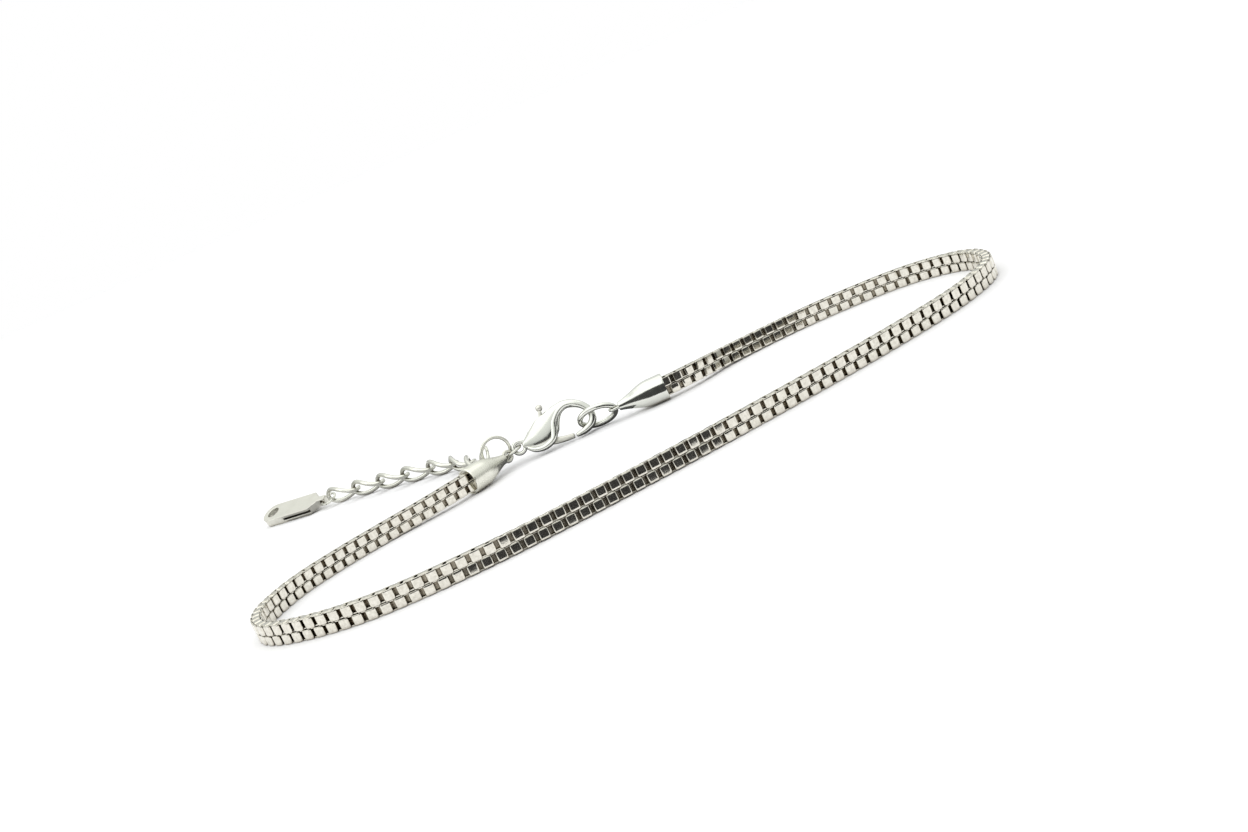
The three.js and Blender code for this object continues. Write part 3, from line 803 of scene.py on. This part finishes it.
def oval_link(material):
    """The thick link that the hook holds."""
    outward = round_about(angles(LOOP_STEPS))
    path = outward * np.array([OVAL_LINK["length"] / 2, OVAL_LINK["height"] / 2, 0])
    wire = wire_along(path, outward, OVAL_LINK["wire"], OVAL_LINK["sides"])
    piece = facing_out(mesh_piece("oval_wire_link", *wire))
    place(piece, leaning(OVAL_LINK["at"], OVAL_LINK["heading"], OVAL_LINK["lean"]))
    finish_piece(piece, material, replaces=["oval_link"])


def curb_link(name, middle, heading, material, node_name):
    """An oval link, twisted from its near end to its far end."""
    angle = angles(LOOP_STEPS)
    turn = math.radians(CURB["twist"] / 2) * (1 + np.cos(angle))
    outward = np.stack([np.cos(angle), np.sin(angle) * np.cos(turn), np.sin(angle) * np.sin(turn)], 1)
    path = outward * np.array([CURB["length"] / 2, CURB["width"] / 2, CURB["width"] / 2])
    piece = facing_out(mesh_piece(name, *wire_along(path, outward, CURB["wire"], WIRE_SIDES)))
    place(piece, Matrix.Translation(middle) @ rotation(heading, "Z"))
    finish_piece(piece, material, replaces=[node_name])


def tail(material):
    """The extension chain. Returns the point where its last link ends."""
    end = shifted(*CURB_START, CURB["axis_height"])
    spare = (CURB["length"] - CURB["pitch"]) / 2
    for i, heading in enumerate(CURB_HEADINGS):
        way = heading_vector(heading)
        middle = end + way * CURB["length"] / 2
        curb_link(f"twisted_link_{i + 1}", middle, heading, material, f"tail_link_{i + 1}")
        after = heading_vector(CURB_HEADINGS[min(i + 1, len(CURB_HEADINGS) - 1)])
        end = end + way * (CURB["length"] - spare) - after * spare
    return end


# Tag


def tag_place(tail_end):
    """The matrix of the tag ring's middle, at the tail's end and with the tag's heading and roll."""
    roll = math.radians(TAG["roll"])
    at = tail_end + heading_vector(TAG["heading"]) * (TAG_RING["radius"] - TAG_RING["slack"])
    at.z = (TAG["thickness"] * math.cos(roll) + TAG["width"] * math.sin(roll)) / 2
    return Matrix.Translation(at) @ rotation(TAG["heading"], "Z") @ rotation(-TAG["roll"], "X")


def tag_outline():
    """The tag seen from above: a neck, shoulders and a round far end."""
    half, neck = TAG["width"] / 2, TAG_NECK["width"] / 2
    shoulder = TAG_NECK["length"] + half - neck
    points = [(0, -neck), (TAG_NECK["length"], -neck), (shoulder, -half)]
    for angle in np.linspace(-math.pi / 2, math.pi / 2, TAG["end_steps"] + 1):
        points.append((TAG["length"] - half + half * math.cos(angle), half * math.sin(angle)))
    return points + [(shoulder, half), (TAG_NECK["length"], neck), (0, neck)]


def tag_plate(ring_place, material):
    """The folded tag: a slot between its two layers, a hole through them and an eye across its neck."""
    piece = facing_out(mesh_piece("folded_tag", *prism(tag_outline(), TAG["thickness"] / 2)))
    slot = mesh_piece("tag_slot_cut", *box(
        (TAG_SLOT["from"], -TAG["width"], -TAG_SLOT["height"] / 2),
        (TAG_SLOT["to"], TAG["width"], TAG_SLOT["height"] / 2)))
    hole = mesh_piece("tag_hole_cut", *disc(TAG["length"] - TAG_HOLE["inset"], 0, TAG_HOLE["radius"],
                                            TAG["thickness"], TAG_HOLE["edge"]))
    eye_outline = [(TAG_NECK["eye_inset"] + TAG_NECK["eye"] * math.cos(a), TAG_NECK["eye"] * math.sin(a))
                   for a in angles(TAG_NECK["eye_sides"])]
    points, faces = prism(eye_outline, TAG_NECK["width"])
    eye = mesh_piece("tag_eye_cut", points[:, [0, 2, 1]], faces)
    cut(piece, slot, hole, eye)
    crisp(piece, TAG["round"], segments=3)
    reach = TAG_RING["radius"] - TAG_NECK["eye_inset"] - TAG_RING["slack"]
    place(piece, ring_place @ Matrix.Translation((reach, 0, 0)))
    finish_piece(piece, material, replaces=["tag"])


def bracelet():
    finishes = {name: steel(name, **finish) for name, finish in FINISHES.items()}
    polished, satin = finishes["polished_steel_soft"], finishes["steel_satin"]
    wire = finishes["wire_steel_satin"]
    chain_row("chain_lower_row", 0, finishes)
    chain_row("chain_upper_row", 1, finishes)
    for cap in CAPS:
        bell_cap(cap, finishes[cap["finish"]])
    clasp_shell(polished)
    clasp_fittings(polished)
    clasp_lever(satin)
    for ring in RINGS:
        ring_place = leaning(ring["at"], ring["heading"], ring["lean"])
        cut_ring(ring["name"] + "_wire", ring, ring_place, wire, ring["name"])
    oval_link(polished)
    ring_place = tag_place(tail(wire))
    cut_ring("tag_jump_ring", TAG_RING, ring_place, wire, "tag_ring")
    tag_plate(ring_place, satin)


# Studio


def camera():
    down, roll = math.radians(CAMERA_DOWN), math.radians(CAMERA_ROLL)
    look = Vector((0, math.cos(down), -math.sin(down)))
    level_right, level_up = Vector((1, 0, 0)), Vector((0, math.sin(down), math.cos(down)))
    right = level_right * math.cos(roll) + level_up * math.sin(roll)
    up = level_up * math.cos(roll) - level_right * math.sin(roll)
    data = bpy.data.cameras.new("camera")
    data.sensor_width = SENSOR
    data.lens = SENSOR * FOCAL_PIXELS / PHOTO_WIDTH
    data.clip_start, data.clip_end = CAMERA_CLIP
    made = bpy.data.objects.new("camera", data)
    bpy.context.scene.collection.objects.link(made)
    turn = Matrix((right, up, -look)).transposed().to_4x4()
    made.matrix_world = Matrix.Translation(Vector(CAMERA_AT) * MM) @ turn
    bpy.context.scene.camera = made


def floor():
    """A flat pale sheet under the bracelet."""
    reach = FLOOR["reach"]
    points = [(-reach, -reach, 0), (reach, -reach, 0), (reach, reach, 0), (-reach, reach, 0)]
    piece = mesh_piece("pale_sheet", points, [(0, 1, 2, 3)])
    piece.data.materials.append(floor_material())


def painted_reflection_card(name, low, high, grey):
    """A card that only shows in the polished steel, as a painted dark reflection. It lies flat if its two
    corners are at one height, and stands upright if not."""
    (x0, y0, z0), (x1, y1, z1) = low, high
    if z0 == z1:
        corners = [(x0, y0, z0), (x1, y0, z0), (x1, y1, z1), (x0, y1, z1)]
    else:
        corners = [(x0, y0, z0), (x1, y1, z0), (x1, y1, z1), (x0, y0, z1)]
    piece = mesh_piece(name, corners, [(0, 1, 2, 3)])
    material, _, shader = new_material(name)
    shader.inputs["Base Color"].default_value = (grey, grey, grey, 1)
    shader.inputs["Roughness"].default_value = CARD_ROUGHNESS
    piece.data.materials.append(material)
    # Seen only by glossy rays, so it paints a dark reflection and casts no shadow
    piece.visible_camera = piece.visible_diffuse = piece.visible_shadow = False


def softbox(light):
    """A rectangle of light that faces the middle of the bracelet."""
    data = bpy.data.lights.new(light["name"], "AREA")
    data.shape = "RECTANGLE"
    data.size, data.size_y = light["size"]
    data.energy = light["power"]
    made = bpy.data.objects.new(light["name"], data)
    bpy.context.scene.collection.objects.link(made)
    made.location = Vector(light["at"])
    made.rotation_euler = (-Vector(light["at"])).to_track_quat("-Z", "Y").to_euler()


def soft_sun():
    data = bpy.data.lights.new("soft_sun", "SUN")
    data.energy = SOFT_SUN["strength"]
    data.angle = math.radians(SOFT_SUN["spread"])
    made = bpy.data.objects.new("soft_sun", data)
    made.rotation_euler = [math.radians(turn) for turn in SOFT_SUN["turn"]]
    bpy.context.scene.collection.objects.link(made)


def room():
    """A white room. What the polished steel mirrors of it is a painted reflection, darker low down, which
    only glossy rays see.
    """
    world = bpy.data.worlds.new("studio")
    bpy.context.scene.world = world
    world.use_nodes = True
    tree = world.node_tree
    seen = tree.nodes["Background"]
    seen.inputs["Color"].default_value = (*ROOM["colour"], 1)
    seen.inputs["Strength"].default_value = ROOM["full"]
    # Painted reflection: glossy rays see this darker, faintly tinted room instead of the white one
    mirrored = node(tree, "ShaderNodeBackground", Color=(*ROOM["mirrored"], 1))
    direction = tree.nodes.new("ShaderNodeSeparateXYZ")
    tree.links.new(tree.nodes.new("ShaderNodeTexCoord").outputs["Generated"], direction.inputs["Vector"])
    strength = ranged(tree, direction.outputs["Z"], 0.0, ROOM["slope"], ROOM["horizon"], ROOM["full"])
    tree.links.new(strength, mirrored.inputs["Strength"])
    either = tree.nodes.new("ShaderNodeMixShader")
    tree.links.new(tree.nodes.new("ShaderNodeLightPath").outputs["Is Glossy Ray"], either.inputs["Fac"])
    tree.links.new(seen.outputs["Background"], either.inputs[1])
    tree.links.new(mirrored.outputs["Background"], either.inputs[2])
    tree.links.new(either.outputs["Shader"], tree.nodes["World Output"].inputs["Surface"])
    world.cycles.sampling_method = "NONE"


def studio():
    floor()
    room()
    for light in SOFTBOXES:
        softbox(light)
    soft_sun()
    painted_reflection_card("front_card", **FRONT_CARD)
    for card in CARDS:
        painted_reflection_card(card["name"], shifted(*card["low"]), shifted(*card["high"]), card["grey"])
    bpy.context.scene.view_settings.view_transform = "Standard"


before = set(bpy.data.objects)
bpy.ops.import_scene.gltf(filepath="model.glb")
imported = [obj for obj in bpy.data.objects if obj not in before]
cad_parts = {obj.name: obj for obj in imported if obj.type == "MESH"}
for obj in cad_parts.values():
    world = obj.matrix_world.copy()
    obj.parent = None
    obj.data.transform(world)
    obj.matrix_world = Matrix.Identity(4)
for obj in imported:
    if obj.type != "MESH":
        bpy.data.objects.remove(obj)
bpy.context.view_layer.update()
camera()
bracelet()
studio()
